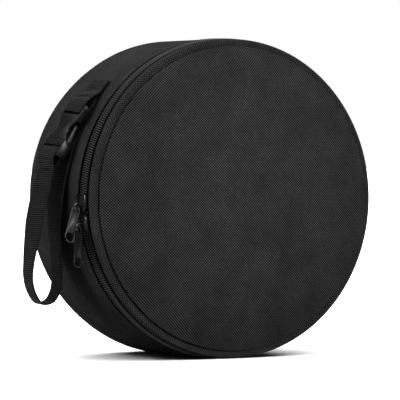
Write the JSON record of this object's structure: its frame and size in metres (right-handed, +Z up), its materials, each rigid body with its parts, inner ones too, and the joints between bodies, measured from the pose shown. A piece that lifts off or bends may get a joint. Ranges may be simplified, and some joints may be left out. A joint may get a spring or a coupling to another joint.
{
  "type": "pillow storage bag",
  "caption": "Round black cloth storage bag that stands on its rim, closed by a zip round its front edge, with a looped webbing strap hung from a side-release buckle.",
  "frame": {"origin": "middle of the flat foot that the bag's wall rests on", "axes": "+Z up, -Y towards the zipped front panel, -X towards the side with the strap and sliders"},
  "size_m": [0.2455, 0.1196, 0.217],
  "materials": {
    "cloth": "black woven polyester, matt with a faint sheen",
    "zip_tape": "black woven tape, matt",
    "zip_coil": "black nylon coil, satin",
    "webbing": "black ribbed webbing, satin",
    "buckle_plastic": "black moulded plastic, satin",
    "enamelled_metal": "black enamel, glossy"
  },
  "bodies": {
    "bag": {"front_panel": "cloth", "front_gusset": "cloth", "zip_tape_front": "zip_tape", "zip_tape_back": "zip_tape", "zip_chain": "zip_coil", "zip_hinge": "cloth", "main_gusset": "cloth", "back_panel": "cloth", "strap_tab": "webbing", "strap": "webbing", "buckle_socket": "buckle_plastic", "buckle_plug": "buckle_plastic", "slider_upper": "enamelled_metal", "slider_lower": "enamelled_metal"},
    "upper_pull": {"pull_upper": "enamelled_metal"},
    "lower_pull": {"pull_lower": "enamelled_metal"}
  },
  "joints": [
    {"name": "upper_pull_swing", "type": "hinge", "parent": "bag", "child": "upper_pull", "pos_m": [-0.11221, -0.04544, 0.10244], "axis": [-0.0746, 0.9972, -0.0014], "range_deg": [0, 150]},
    {"name": "lower_pull_swing", "type": "hinge", "parent": "bag", "child": "lower_pull", "pos_m": [-0.11081, -0.04544, 0.089], "axis": [-0.0739, 0.9972, -0.0104], "range_deg": [0, 70]}
  ]
}
